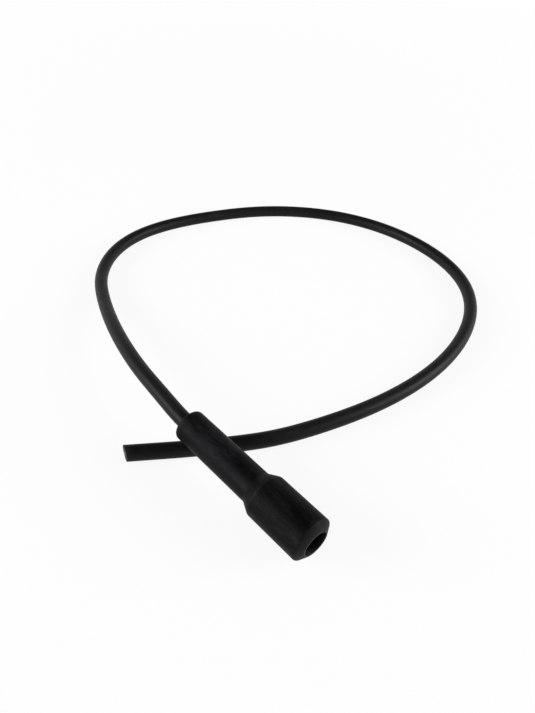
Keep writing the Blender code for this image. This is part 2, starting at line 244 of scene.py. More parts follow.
# Soft boxes: name, place, width, height, power and colour, all aimed inside the loop
LIGHT_AIM = (-0.05, 0.05, 0.0)
SOFT_BOXES = [
    ("left_soft_box", (-1.15, -1.5, 0.80), 1.2, 0.8, 41.0, (0.96, 0.98, 1.0)),
    ("far_right_soft_box", (1.35, 1.5, 0.80), 1.4, 1.0, 44.0, (1.0, 1.0, 1.0)),
]

# Paper that the cap lies on, and how far from the middle it turns from nearly to fully white
FLOOR_HALF_WIDTH = 3.0
PAPER_COLOUR = (0.93, 0.93, 0.93, 1.0)
PAPER_ROUGHNESS = 0.9
WHITE_SHARE_NEAR = 0.90
WHITE_SHARE_FAR = 1.0
WHITENS_FROM = 0.4
WHITENS_UNTIL = 1.4

# Room round it, bright low down and dim overhead; the heights are on its unit sphere
ROOM_COLOUR = (1.0, 1.0, 1.0, 1.0)
BRIGHT_STRENGTH = 1.0
DIM_STRENGTH = 0.10
BRIGHT_BELOW = 0.24
DIM_ABOVE = 0.58


# Studio: the camera stands where the photograph was taken from

def photo_camera():
    camera = bpy.data.objects.new("photo_camera", bpy.data.cameras.new("photo_camera"))
    bpy.context.scene.collection.objects.link(camera)
    camera.data.sensor_width = SENSOR_WIDTH
    camera.data.lens = SENSOR_WIDTH * FOCAL_LENGTH_IN_PIXELS / PHOTO_HEIGHT_IN_PIXELS
    camera.data.clip_start = NEAREST_SEEN
    camera.data.clip_end = FURTHEST_SEEN
    ahead = Vector(CAMERA_AHEAD).normalized()
    level_right = ahead.cross(Vector((0, 0, 1))).normalized()
    level_down = ahead.cross(level_right)
    right = level_right * math.cos(CAMERA_ROLL) + level_down * math.sin(CAMERA_ROLL)
    down = level_down * math.cos(CAMERA_ROLL) - level_right * math.sin(CAMERA_ROLL)
    turn = Matrix((right, -down, -ahead)).transposed().to_4x4()
    camera.matrix_world = Matrix.Translation(CAMERA_PLACE) @ turn
    bpy.context.scene.camera = camera


def soft_box(name, place, width, height, power, colour):
    light = bpy.data.lights.new(name, "AREA")
    light.shape = "RECTANGLE"
    light.size = width
    light.size_y = height
    light.energy = power
    light.color = colour
    lamp = bpy.data.objects.new(name, light)
    bpy.context.scene.collection.objects.link(lamp)
    lamp.location = place
    lamp.rotation_euler = (Vector(LIGHT_AIM) - Vector(place)).to_track_quat("-Z", "Y").to_euler()
    lamp.visible_camera = False


def white_where_seen(tree, lit_shader):
    # White straight to the camera and in reflections; near the object the lit paper shows through
    nodes, links = tree.nodes, tree.links
    path = nodes.new("ShaderNodeLightPath")
    seen = nodes.new("ShaderNodeMath")
    seen.operation = "ADD"
    links.new(path.outputs["Is Camera Ray"], seen.inputs[0])
    links.new(path.outputs["Is Glossy Ray"], seen.inputs[1])
    through = nodes.new("ShaderNodeMath")
    through.operation = "ADD"
    through.use_clamp = True
    links.new(seen.outputs[0], through.inputs[0])
    links.new(path.outputs["Is Transmission Ray"], through.inputs[1])
    place = nodes.new("ShaderNodeTexCoord")
    away = nodes.new("ShaderNodeVectorMath")
    away.operation = "LENGTH"
    links.new(place.outputs["Object"], away.inputs[0])
    share = nodes.new("ShaderNodeMapRange")
    share.inputs["From Min"].default_value = WHITENS_FROM
    share.inputs["From Max"].default_value = WHITENS_UNTIL
    share.inputs["To Min"].default_value = WHITE_SHARE_NEAR
    share.inputs["To Max"].default_value = WHITE_SHARE_FAR
    links.new(away.outputs["Value"], share.inputs["Value"])
    factor = nodes.new("ShaderNodeMath")
    factor.operation = "MULTIPLY"
    links.new(through.outputs[0], factor.inputs[0])
    links.new(share.outputs["Result"], factor.inputs[1])
    white = nodes.new("ShaderNodeEmission")
    white.inputs["Strength"].default_value = 1.0
    mix = nodes.new("ShaderNodeMixShader")
    links.new(factor.outputs[0], mix.inputs[0])
    links.new(lit_shader, mix.inputs[1])
    links.new(white.outputs[0], mix.inputs[2])
    return mix.outputs[0]


def pale_floor():
    shape = bmesh.new()
    bmesh.ops.create_grid(shape, x_segments=2, y_segments=2, size=FLOOR_HALF_WIDTH)
    mesh = bpy.data.meshes.new("pale_floor")
    shape.to_mesh(mesh)
    shape.free()
    floor = bpy.data.objects.new("pale_floor", mesh)
    bpy.context.scene.collection.objects.link(floor)
    material = bpy.data.materials.new("pale_paper")
    material.use_nodes = True
    tree = material.node_tree
    paper = tree.nodes["Principled BSDF"]
    paper.inputs["Base Color"].default_value = PAPER_COLOUR
    paper.inputs["Roughness"].default_value = PAPER_ROUGHNESS
    out = tree.nodes["Material Output"]
    tree.links.new(white_where_seen(tree, paper.outputs[0]), out.inputs["Surface"])
    mesh.materials.append(material)


def studio_world():
    # A white room, dimmer overhead
    world = bpy.data.worlds.new("studio_world")
    bpy.context.scene.world = world
    world.use_nodes = True
    tree = world.node_tree
    room = tree.nodes["Background"]
    room.inputs["Color"].default_value = ROOM_COLOUR
    place = tree.nodes.new("ShaderNodeTexCoord")
    parts = tree.nodes.new("ShaderNodeSeparateXYZ")
    tree.links.new(place.outputs["Generated"], parts.inputs[0])
    height = tree.nodes.new("ShaderNodeMapRange")
    height.inputs["From Min"].default_value = BRIGHT_BELOW
    height.inputs["From Max"].default_value = DIM_ABOVE
    height.inputs["To Min"].default_value = BRIGHT_STRENGTH
    height.inputs["To Max"].default_value = DIM_STRENGTH
    tree.links.new(parts.outputs["Z"], height.inputs["Value"])
    tree.links.new(height.outputs["Result"], room.inputs["Strength"])


photo_camera()
pale_floor()
studio_world()
for box in SOFT_BOXES:
    soft_box(*box)
bpy.context.scene.view_settings.view_transform = "Standard"


# Making and placing

def finished(name, shape, material):
    mesh = bpy.data.meshes.new(name)
    shape.to_mesh(mesh)
    shape.free()
    mesh.shade_smooth()
    mesh.set_sharp_from_angle(angle=SOFT_CREASE)
    mesh.materials.append(material)
    piece = bpy.data.objects.new(name, mesh)
    bpy.context.scene.collection.objects.link(piece)
    return piece


def remember_own_space(shape):
    # The making coordinates stay on the points, so grain and drag lines follow the piece
    space = shape.verts.layers.float_vector.new("own_space")
    for vert in shape.verts:
        vert[space] = vert.co


def rounded(shape, edges, reach, segments):
    bmesh.ops.bevel(shape, geom=edges, offset=reach, offset_type="OFFSET", segments=segments,
                    profile=0.5, affect="EDGES", material=-1)


def smooth_route(points, step):
    # Natural cubic curve through the points, read at nearly even steps along its length
    knots = np.array(points)
    spans = np.linalg.norm(np.diff(knots, axis=0), axis=1)
    along = np.concatenate(([0.0], np.cumsum(spans)))
    count = len(knots)
    system = np.eye(count)
    target = np.zeros_like(knots)
    for i in range(1, count - 1):
        before, after = spans[i - 1], spans[i]
        system[i, i - 1:i + 2] = (before, 2 * (before + after), after)
        target[i] = 6 * ((knots[i + 1] - knots[i]) / after - (knots[i] - knots[i - 1]) / before)
    bends = np.linalg.solve(system, target)
    places = np.linspace(0.0, along[-1], round(along[-1] / step) + 1)
    span = np.clip(np.searchsorted(along, places, side="right") - 1, 0, count - 2)
    width = spans[span][:, None]
    left = (places - along[span])[:, None]
    right = width - left
    curve = (bends[span] * right ** 3 + bends[span + 1] * left ** 3) / (6 * width)
    curve += (knots[span] / width - bends[span] * width / 6) * right
    curve += (knots[span + 1] / width - bends[span + 1] * width / 6) * left
    return [Vector(point) for point in curve]


def lead_path(start_depth, step):
    # Straight inside the sleeve, out of it, and round the loop on the surface
    depths = np.linspace(start_depth, BOOT_LENGTH + STRAIGHT_OUT, STRAIGHT_POINTS)
    straight = [tuple(MOUTH + BACKWARDS * depth) for depth in depths]
    laid = [(x, y, LYING_HEIGHT + lift) for x, y, lift in LEAD_ROUTE]
    path = smooth_route(straight + laid, step)
    for point in path:
        point.z = max(point.z, LYING_HEIGHT)
    return path


def stations(path):
    # A place for each point of the path, with local Z along it and local Y level
    places = []
    for i, point in enumerate(path):
        ahead = (path[min(i + 1, len(path) - 1)] - path[max(i - 1, 0)]).normalized()
        level = Vector((0, 0, 1)).cross(ahead).normalized()
        up = ahead.cross(level)
        places.append(Matrix.Translation(point) @ Matrix((up, level, ahead)).transposed().to_4x4())
    return places


def lengths_along(path):
    return np.concatenate(([0.0], np.cumsum([(b - a).length for a, b in zip(path, path[1:])])))


def tube_rows(places, along, radius):
    return [(place, distance, radius) for place, distance in zip(places, along)]


def rolled_up(shape, space, rows, sides):
    # A flat grid rolled up into a tube; each row has its place, its distance along and its radius
    last = len(rows) - 1
    half = 0.5
    grid = bmesh.ops.create_grid(shape, x_segments=sides, y_segments=last, size=half)["verts"]
    for vert in grid:
        turn = 2 * math.pi * (vert.co.x + half)
        place, distance, radius = rows[round((vert.co.y + half) * last)]
        flat = Vector((radius * math.cos(turn), radius * math.sin(turn), 0.0))
        vert[space] = (flat.x, flat.y, distance)
        vert.co = place @ flat
    bmesh.ops.remove_doubles(shape, verts=grid, dist=SEAM_MERGE)


# Materials, and how strongly each effect counts in them

LUMPS_IN_RELIEF = 0.6
SPECKS_IN_DUST = 0.18
SMEARS_IN_DUST = 0.12
DUST_ROUGHENS = 0.15
BORE_ROUGHENS = 0.2
# Near black painted down the boot's bore as its shade
BORE_PAINTED_SHADE = (0.0009, 0.0009, 0.0009, 1)
RUBBER_RELIEF = 0.8
TARNISH_IN_ROUGHNESS = 0.6
LINES_IN_ROUGHNESS = 0.4
METAL_RELIEF = 0.6


def node(tree, kind, **settings):
    made = tree.nodes.new(kind)
    for key, value in settings.items():
        setattr(made, key, value)
    return made


def group_of(name, inputs, outputs):
    group = bpy.data.node_groups.new(name, "ShaderNodeTree")
    for label, kind, value in inputs:
        socket = group.interface.new_socket(name=label, in_out="INPUT", socket_type=kind)
        if value is not None:
            socket.default_value = value
    for label, kind in outputs:
        group.interface.new_socket(name=label, in_out="OUTPUT", socket_type=kind)
    start = group.nodes.new("NodeGroupInput")
    end = group.nodes.new("NodeGroupOutput")
    return group, start, end


def stretched_vector(tree, source, scale):
    mapping = node(tree, "ShaderNodeMapping")
    mapping.inputs["Scale"].default_value = scale
    tree.links.new(source, mapping.inputs["Vector"])
    return mapping.outputs["Vector"]


def noise_at(tree, vector, scale, detail, roughness):
    texture = node(tree, "ShaderNodeTexNoise")
    texture.inputs["Scale"].default_value = scale
    texture.inputs["Detail"].default_value = detail
    texture.inputs["Roughness"].default_value = roughness
    tree.links.new(vector, texture.inputs["Vector"])
    return texture.outputs["Fac"]


def ranged(tree, value, low, high, to_low=0.0, to_high=1.0):
    made = node(tree, "ShaderNodeMapRange", clamp=True)
    made.inputs["From Min"].default_value = low
    made.inputs["From Max"].default_value = high
    made.inputs["To Min"].default_value = to_low
    made.inputs["To Max"].default_value = to_high
    tree.links.new(value, made.inputs["Value"])
    return made.outputs["Result"]


def maths(tree, operation, first, second):
    made = node(tree, "ShaderNodeMath", operation=operation)
    for socket, value in zip(made.inputs, (first, second)):
        if isinstance(value, (int, float)):
            socket.default_value = value
        else:
            tree.links.new(value, socket)
    return made.outputs[0]


def blended(tree, factor, first, second):
    made = node(tree, "ShaderNodeMix", data_type="RGBA")
    tree.links.new(factor, made.inputs["Factor"])
    for name, value in (("A", first), ("B", second)):
        socket = [s for s in made.inputs if s.name == name and s.type == "RGBA"][0]
        if isinstance(value, tuple):
            socket.default_value = value
        else:
            tree.links.new(value, socket)
    return [s for s in made.outputs if s.type == "RGBA"][0]


def rubber_skin_group():
    # Fine matt grain, faint drag lines along the piece and a slow uneven tone
    group, start, end = group_of(
        "rubber_skin",
        inputs=[
            ("Vector", "NodeSocketVector", None),
            ("Drag", "NodeSocketFloat", 0.5),
            ("Grain", "NodeSocketFloat", 0.5),
        ],
        outputs=[("Height", "NodeSocketFloat"), ("Tone", "NodeSocketFloat"), ("Gloss", "NodeSocketFloat")],
    )
    vector = start.outputs["Vector"]
    grain = noise_at(group, vector, scale=5200.0, detail=3.0, roughness=0.6)
    lumps = noise_at(group, vector, scale=900.0, detail=3.0, roughness=0.5)
    long_streaks = stretched_vector(group, vector, (1.0, 1.0, 0.035))
    drag = noise_at(group, long_streaks, scale=2600.0, detail=3.0, roughness=0.6)
    long_patches = stretched_vector(group, vector, (1.0, 1.0, 0.35))
    slow = noise_at(group, long_patches, scale=170.0, detail=4.0, roughness=0.6)
    fine = maths(group, "MULTIPLY", grain, start.outputs["Grain"])
    lined = maths(group, "MULTIPLY", drag, start.outputs["Drag"])
    both = maths(group, "ADD", fine, lined)
    height = maths(group, "ADD", both, maths(group, "MULTIPLY", lumps, LUMPS_IN_RELIEF))
    group.links.new(height, end.inputs["Height"])
    short_patches = stretched_vector(group, vector, (1.0, 1.0, 0.6))
    patches = noise_at(group, short_patches, scale=480.0, detail=4.0, roughness=0.7)
    slow_tone = ranged(group, slow, 0.3, 0.7, to_high=0.45)
    drag_tone = ranged(group, drag, 0.35, 0.7, to_high=0.2)
    tone = maths(group, "ADD", slow_tone, drag_tone)
    tone = maths(group, "ADD", tone, ranged(group, patches, 0.34, 0.66, to_high=0.35))
    group.links.new(tone, end.inputs["Tone"])
    slow_gloss = ranged(group, slow, 0.32, 0.68, to_high=0.4)
    patch_gloss = ranged(group, patches, 0.38, 0.62, to_high=0.6)
    group.links.new(maths(group, "ADD", slow_gloss, patch_gloss), end.inputs["Gloss"])
    return group


def dust_and_highlight_group():
    # Small pale specks and faint smears left by handling, and the pale rubbed edges from the wear input,
    # which are partly painted edge highlights
    group, start, end = group_of(
        "handling_dust_and_edge_highlight",
        inputs=[("Vector", "NodeSocketVector", None), ("Edge_wear_and_highlight", "NodeSocketFloat", 0.0)],
        outputs=[("Mask", "NodeSocketFloat")],
    )
    vector = start.outputs["Vector"]
    fine_noise = noise_at(group, vector, scale=2300.0, detail=2.0, roughness=0.7)
    specks = ranged(group, fine_noise, 0.64, 0.72)
    drawn_out = stretched_vector(group, vector, (1.0, 1.0, 0.25))
    smear_noise = noise_at(group, drawn_out, scale=240.0, detail=5.0, roughness=0.65)
    smears = ranged(group, smear_noise, 0.52, 0.72)
    broken_noise = noise_at(group, vector, scale=1500.0, detail=4.0, roughness=0.7)
    broken = ranged(group, broken_noise, 0.32, 0.62, to_low=0.35)
    edge = maths(group, "MULTIPLY", start.outputs["Edge_wear_and_highlight"], broken)
    speck_share = maths(group, "MULTIPLY", specks, SPECKS_IN_DUST)
    smear_share = maths(group, "MULTIPLY", smears, SMEARS_IN_DUST)
    loose = maths(group, "ADD", speck_share, smear_share)
    total = node(group, "ShaderNodeMath", operation="ADD", use_clamp=True)
    group.links.new(loose, total.inputs[0])
    group.links.new(edge, total.inputs[1])
    group.links.new(total.outputs[0], end.inputs["Mask"])
    return group


RUBBER_SKIN = rubber_skin_group()
DUST_AND_EDGE_HIGHLIGHT = dust_and_highlight_group()


def attribute(tree, name, output):
    made = node(tree, "ShaderNodeAttribute", attribute_type="GEOMETRY", attribute_name=name)
    return made.outputs[output]


def with_relief(tree, shader, height, strength, distance):
    relief = node(tree, "ShaderNodeBump")
    relief.inputs["Strength"].default_value = strength
    relief.inputs["Distance"].default_value = distance
    tree.links.new(height, relief.inputs["Height"])
    tree.links.new(relief.outputs["Normal"], shader.inputs["Normal"])


def black_rubber(name, deep, bloomed_and_sheen, dusty_and_highlight, sheen_level, rough_low, rough_high, drag, grain, bump, has_bore):
    material = bpy.data.materials.new(name)
    material.use_nodes = True
    tree = material.node_tree
    shader = tree.nodes["Principled BSDF"]
    shader.inputs["Specular IOR Level"].default_value = sheen_level
    space = attribute(tree, "own_space", "Vector")
    skin = node(tree, "ShaderNodeGroup", node_tree=RUBBER_SKIN)
    skin.inputs["Drag"].default_value = drag
    skin.inputs["Grain"].default_value = grain
    tree.links.new(space, skin.inputs["Vector"])
    dust_and_highlight = node(tree, "ShaderNodeGroup", node_tree=DUST_AND_EDGE_HIGHLIGHT)
    tree.links.new(space, dust_and_highlight.inputs["Vector"])
    tree.links.new(attribute(tree, "edge_wear_and_highlight", "Fac"), dust_and_highlight.inputs["Edge_wear_and_highlight"])
    pale = skin.outputs["Tone"]
    # On the boot the pale tone follows the bloom attribute, which also paints sheen and shade
    if has_bore:
        pale = maths(tree, "MULTIPLY", pale, attribute(tree, "bloom_sheen_and_shade", "Fac"))
    # The dusty colour also paints the edge highlights carried by the edge wear mask
    colour = blended(tree, dust_and_highlight.outputs["Mask"], blended(tree, pale, deep, bloomed_and_sheen), dusty_and_highlight)
    rough = ranged(tree, skin.outputs["Gloss"], 0.0, 1.0, rough_low, rough_high)
    rough = maths(tree, "ADD", rough, maths(tree, "MULTIPLY", dust_and_highlight.outputs["Mask"], DUST_ROUGHENS))
    if has_bore:
        # Down the bore the colour is painted near black as shade, and the rubber is rougher
        bore = attribute(tree, "bore_painted_shade", "Fac")
        colour = blended(tree, bore, colour, BORE_PAINTED_SHADE)
        rough = maths(tree, "ADD", rough, maths(tree, "MULTIPLY", bore, BORE_ROUGHENS))
    tree.links.new(colour, shader.inputs["Base Color"])
    tree.links.new(rough, shader.inputs["Roughness"])
    with_relief(tree, shader, skin.outputs["Height"], RUBBER_RELIEF, bump)
    return material


def sheet_metal(name, clean, dull, rough_low, rough_high, line_scale, line_stretch, bump):
    material = bpy.data.materials.new(name)
    material.use_nodes = True
    tree = material.node_tree
    shader = tree.nodes["Principled BSDF"]
    shader.inputs["Metallic"].default_value = 1.0
    space = attribute(tree, "own_space", "Vector")
    patches = noise_at(tree, space, scale=420.0, detail=5.0, roughness=0.65)
    tarnish = ranged(tree, patches, 0.42, 0.68)
    drawn_out = stretched_vector(tree, space, (1, 1, line_stretch))
    lines = noise_at(tree, drawn_out, line_scale, detail=3.0, roughness=0.6)
    tree.links.new(blended(tree, tarnish, clean, dull), shader.inputs["Base Color"])
    tarnish_share = maths(tree, "MULTIPLY", tarnish, TARNISH_IN_ROUGHNESS)
    line_share = maths(tree, "MULTIPLY", lines, LINES_IN_ROUGHNESS)
    mixed = maths(tree, "ADD", tarnish_share, line_share)
    tree.links.new(ranged(tree, mixed, 0.0, 1.0, rough_low, rough_high), shader.inputs["Roughness"])
    with_relief(tree, shader, lines, METAL_RELIEF, bump)
    return material


MOULDED_RUBBER = black_rubber(
    "moulded_black_rubber",
    deep=(0.0011, 0.0011, 0.0012, 1),
    # Pale bloom, and the lit colour of the painted sheen
    bloomed_and_sheen=(0.0062, 0.0064, 0.0072, 1),
    dusty_and_highlight=(0.080, 0.082, 0.085, 1),
    sheen_level=0.062,
    rough_low=0.43,
    rough_high=0.64,
    drag=0.35,
    grain=0.8,
    bump=0.00004,
    has_bore=True,
)
EXTRUDED_RUBBER = black_rubber(
    "extruded_black_rubber",
    deep=(0.0048, 0.0048, 0.0048, 1),
    bloomed_and_sheen=(0.0092, 0.0093, 0.0090, 1),
    dusty_and_highlight=(0.050, 0.051, 0.049, 1),
    sheen_level=0.10,
    rough_low=0.40,
    rough_high=0.54,
    drag=0.9,
    grain=0.4,
    bump=0.00004,
    has_bore=False,
)
TINNED_STRAND = sheet_metal(
    "tinned_copper_strand",
    clean=(0.72, 0.60, 0.50, 1),
    dull=(0.42, 0.30, 0.22, 1),
    rough_low=0.28,
    rough_high=0.5,
    line_scale=3000.0,
    line_stretch=0.05,
    bump=0.00001,
)
PLATED_BRASS = sheet_metal(
    "plated_brass_sheet",
    clean=(0.66, 0.60, 0.44, 1),
    dull=(0.44, 0.37, 0.24, 1),
    rough_low=0.22,
    rough_high=0.44,
    line_scale=2600.0,
    line_stretch=0.06,
    bump=0.000012,
)
DRAWN_STEEL = sheet_metal(
    "drawn_spring_steel",
    clean=(0.58, 0.58, 0.60, 1),
    dull=(0.36, 0.35, 0.35, 1),
    rough_low=0.2,
    rough_high=0.4,
    line_scale=3200.0,
    line_stretch=0.06,
    bump=0.00001,
)


# Ignition lead, made and measured before the other pieces

def cut_at_a_slant(shape, space, end_place, whole_length):
    # The cutters went through jacket and strands together, not quite square
    into_end = end_place.inverted()
    onwards = end_place.to_3x3() @ Vector((0, 0, 1))
    for vert in shape.verts:
        if whole_length - vert[space].z < CUT_REACH:
            vert.co += onwards * (CUT_FURTHER_OUT - CUT_SLANT * (into_end @ vert.co).y)


def outer_end_edges(shape, space, ends):
    # The round edges where the jacket's outside meets its two end faces
    def on_edge(vert, end):
        return abs(vert[space].z - end) < SAME_PLACE and vert[space].xy.length > OUTSIDE_FROM_RADIUS

    return [edge for edge in shape.edges
            if any(all(on_edge(vert, end) for vert in edge.verts) for end in ends)]


def lead_jacket():
    path = lead_path(LEAD_START, JACKET_STEP)
    places = stations(path)
    along = lengths_along(path)
    shape = bmesh.new()
    space = shape.verts.layers.float_vector.new("own_space")
    wear_and_highlight = shape.verts.layers.float.new("edge_wear_and_highlight")
    # Along the outside, in at the cut, back down the bore and out again to the first row
    outside = tube_rows(places, along, LEAD_RADIUS)
    bored = tube_rows(places, along, JACKET_BORE_RADIUS)
    rolled_up(shape, space, outside + bored[::-1] + outside[:1], JACKET_SIDES)
    bmesh.ops.recalc_face_normals(shape, faces=shape.faces)
    rounded(shape, outer_end_edges(shape, space, (along[0], along[-1])), JACKET_EDGE_ROUND, segments=3)
    cut_at_a_slant(shape, space, places[-1], along[-1])
    for vert in shape.verts:
        if along[-1] - vert[space].z < CUT_REACH:
            vert[wear_and_highlight] = CUT_EDGE_WEAR * float(vert[space].xy.length > OUTSIDE_FROM_RADIUS)
    jacket = finished("lead_jacket", shape, EXTRUDED_RUBBER)
    return jacket, path


def strand_rows(places, along, number):
    # Strand 0 is straight down the middle, and the others are laid round it
    out = 2 * STRAND_RADIUS * (number > 0)
    rows = []
    for place, distance in zip(places, along):
        turn = 2 * math.pi * (number / OUTER_STRANDS + distance / STRAND_LAY)
        offset = Matrix.Translation((out * math.cos(turn), out * math.sin(turn), 0))
        rows.append((place @ offset, distance, STRAND_RADIUS * STRAND_SHRINK))
    return rows


def lead_strands():
    path = lead_path(CONDUCTOR_START, STRAND_STEP)
    places = stations(path)
    along = lengths_along(path)
    shape = bmesh.new()
    space = shape.verts.layers.float_vector.new("own_space")
    for number in range(1 + OUTER_STRANDS):
        rolled_up(shape, space, strand_rows(places, along, number), STRAND_SIDES)
    cut_at_a_slant(shape, space, places[-1], along[-1])
    ends = [edge for edge in shape.edges if edge.is_boundary]
    bmesh.ops.holes_fill(shape, edges=ends, sides=STRAND_SIDES)
    bmesh.ops.recalc_face_normals(shape, faces=shape.faces)
    return finished("lead_strands", shape, TINNED_STRAND)


jacket, jacket_path = lead_jacket()
strands = lead_strands()
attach(jacket, "root")
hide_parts("lead_insulation")
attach(strands, "root")
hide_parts("lead_conductor")


# Moulded boot: radius, depth and rounding of each corner of its outline

BOOT_CORNERS = [
    (RIM_RADIUS, 0.0, RIM_ROUND),
    (BARREL_RADIUS, LIP_LENGTH, LIP_ROUND),
    (BARREL_RADIUS, BARREL_END, SHOULDER_ROUND),
    (SLEEVE_RADIUS, SHOULDER_END, SHOULDER_ROUND),
    (SLEEVE_RADIUS, BOOT_LENGTH, SLEEVE_END_ROUND),
    (LEAD_BORE_RADIUS, BOOT_LENGTH, LEAD_BORE_ROUND),
    (LEAD_BORE_RADIUS, LEAD_CRIMP_END + FIT_GAP + LEAD_BORE_STEP, SHARP),
    (CRIMP_CHAMBER_RADIUS, LEAD_CRIMP_END + FIT_GAP, SHARP),
    (CRIMP_CHAMBER_RADIUS, CRIMP_STEP_END - FIT_GAP, SHARP),
    (RIDGE_RADIUS, WIRE_CRIMP_END, RIDGE_ROUND),
    (RIDGE_RADIUS, CUP_TAPER_END, RIDGE_ROUND),
    (CUP_CHAMBER_RADIUS, CUP_END + FIT_GAP, SHARP),
    (CUP_CHAMBER_RADIUS, SOCKET_DEPTH + SOCKET_TAPER_LENGTH, SHARP),
    (SOCKET_RADIUS, SOCKET_DEPTH, SHARP),
]
# Rubbed edges, partly lightened as painted edge highlights: radius, depth, amount and spread
WORN_AND_HIGHLIGHTED_EDGES = [
    (RIM_RADIUS - RIM_WIDTH / 2, 0.0, 0.75, 0.00036),
    (BARREL_RADIUS, LIP_LENGTH, 0.12, 0.0004),
    (BARREL_RADIUS, BARREL_END, 0.10, 0.0004),
    (SLEEVE_RADIUS, BOOT_LENGTH, 0.25, 0.0006),
]
# The pale bloom comes and goes with the depth, and with it a painted sheen, lighter on the barrel's middle,
# and painted shade, darker over the shoulder and towards the mouth: depth and amount
BLOOM_SHEEN_AND_SHADE_BY_DEPTH = [
    (0.0, 0.1),
    (0.002, 0.2),
    (0.010, 0.25),
    (0.017, 0.7),
    (0.024, 0.7),
    (0.0270, 0.15),
    (0.0305, 0.1),
    (0.034, 1.0),
    (0.045, 1.0),
    (0.058, 0.6),
    (0.068, 0.35),
    (BOOT_LENGTH, 0.5),
]
# The bore is painted near black as shade but for a short fade behind the rim
BORE_FADE_START = 0.0001
BORE_FADE_END = 0.0012
BORE_WITHIN = SOCKET_RADIUS + 0.0001
# The skin is never quite even, and the mould's parting line stands a hair proud on two sides.
# Where the surface faces along the axis more than END_FACE_NORMAL, it stays flat.
SLEEVE_SKIN_FROM = SLEEVE_RADIUS - 0.0002
LIP_SKIN_FROM = RIM_RADIUS + 0.0003
SKIN_NOISE_SCALE = 160
SKIN_UNEVENNESS = 0.00003
SKIN_SETBACK = 0.00004
PARTING_ANGLES = (math.radians(47), math.radians(227))
PARTING_HEIGHT = 0.00007
PARTING_HALF_WIDTH = 0.0002
PARTING_START = 0.003
PARTING_END = 0.0705
END_FACE_NORMAL = 0.9


def boot_corners():
    corners = list(BOOT_CORNERS)
    foot = SEAL_RIB_WIDTH / 2
    crest = SEAL_RIB_CREST_WIDTH / 2
    for number in reversed(range(SEAL_RIB_COUNT)):
        middle = FIRST_SEAL_RIB + number * SEAL_RIB_PITCH
        corners.append((SOCKET_RADIUS, middle + foot, RIB_FOOT_ROUND))
        corners.append((RIB_CREST_RADIUS, middle + crest, RIB_CREST_ROUND))
        corners.append((RIB_CREST_RADIUS, middle - crest, RIB_CREST_ROUND))
        corners.append((SOCKET_RADIUS, middle - foot, RIB_FOOT_ROUND))
    corners.append((SOCKET_RADIUS, 0.0, RIM_ROUND))
    return corners


def edges_round(shape, radius, depth):
    # The ring of edges that a corner of the outline was turned into
    def at_corner(vert):
        return abs(vert.co.z + depth) < SAME_PLACE and abs(vert.co.xy.length - radius) < SAME_PLACE

    return [edge for edge in shape.edges if all(at_corner(vert) for vert in edge.verts)]


def turned_shape(corners, steps, closed=True):
    # The outline's corners are joined, turned once round the axis and rounded where they should be
    shape = bmesh.new()
    points = [shape.verts.new((radius, 0.0, -depth)) for radius, depth, _ in corners]
    edges = [shape.edges.new(pair) for pair in zip(points, points[1:])]
    if closed:
        edges.append(shape.edges.new((points[-1], points[0])))
    bmesh.ops.spin(shape, geom=points + edges, cent=(0, 0, 0), axis=(0, 0, 1), angle=2 * math.pi,
                   steps=steps, use_merge=True, use_duplicate=False)
    bmesh.ops.remove_doubles(shape, verts=shape.verts, dist=OUTLINE_MERGE)
    bmesh.ops.recalc_face_normals(shape, faces=shape.faces)
    for radius, depth, reach in corners:
        if reach > SHARP:
            rounded(shape, edges_round(shape, radius, depth), reach, segments=4)
    return shape


def mark_boot(shape):
    # Where the rubber is rubbed or carries painted edge highlights, where it has bloom with painted sheen and
    # painted shade, and where the bore is painted dark as shade
    wear_and_highlight = shape.verts.layers.float.new("edge_wear_and_highlight")
    bloom_sheen_and_shade = shape.verts.layers.float.new("bloom_sheen_and_shade")
    bore = shape.verts.layers.float.new("bore_painted_shade")
    tone_depths, tone_amounts = zip(*BLOOM_SHEEN_AND_SHADE_BY_DEPTH)
    for vert in shape.verts:
        radius, depth = vert.co.xy.length, -vert.co.z
        # Rubbed edges, partly lightened as painted edge highlights
        for at_radius, at_depth, amount, spread in WORN_AND_HIGHLIGHTED_EDGES:
            away = math.hypot(radius - at_radius, depth - at_depth)
            vert[wear_and_highlight] = max(vert[wear_and_highlight], amount * math.exp(-(away / spread) ** 2))
        # Bloom by depth, with painted sheen on the barrel and painted shade over the shoulder and towards the
        # mouth
        vert[bloom_sheen_and_shade] = np.interp(depth, tone_depths, tone_amounts)
        # The bore gets painted shade, fading in just behind the rim
        shade_fade = np.interp(depth, (BORE_FADE_START, BORE_FADE_END), (0.0, 1.0))
        vert[bore] = float(radius < BORE_WITHIN) * shade_fade


def uneven_boot_skin(shape):
    # The bore and the end faces stay as they were turned
    for vert in shape.verts:
        radius, depth = vert.co.xy.length, -vert.co.z
        outside = radius > SLEEVE_SKIN_FROM or (radius > LIP_SKIN_FROM and depth < LIP_LENGTH)
        if not outside or abs(vert.normal.z) >= END_FACE_NORMAL:
            continue
        angle = math.atan2(vert.co.y, vert.co.x) % (2 * math.pi)
        gap = min(abs((angle - line + math.pi) % (2 * math.pi) - math.pi) for line in PARTING_ANGLES)
        on_line = gap * radius < PARTING_HALF_WIDTH and PARTING_START < depth < PARTING_END
        proud = noise.noise(vert.co * SKIN_NOISE_SCALE) * SKIN_UNEVENNESS - SKIN_SETBACK
        proud += PARTING_HEIGHT * on_line
        vert.co += Vector((vert.co.x, vert.co.y, 0)).normalized() * proud


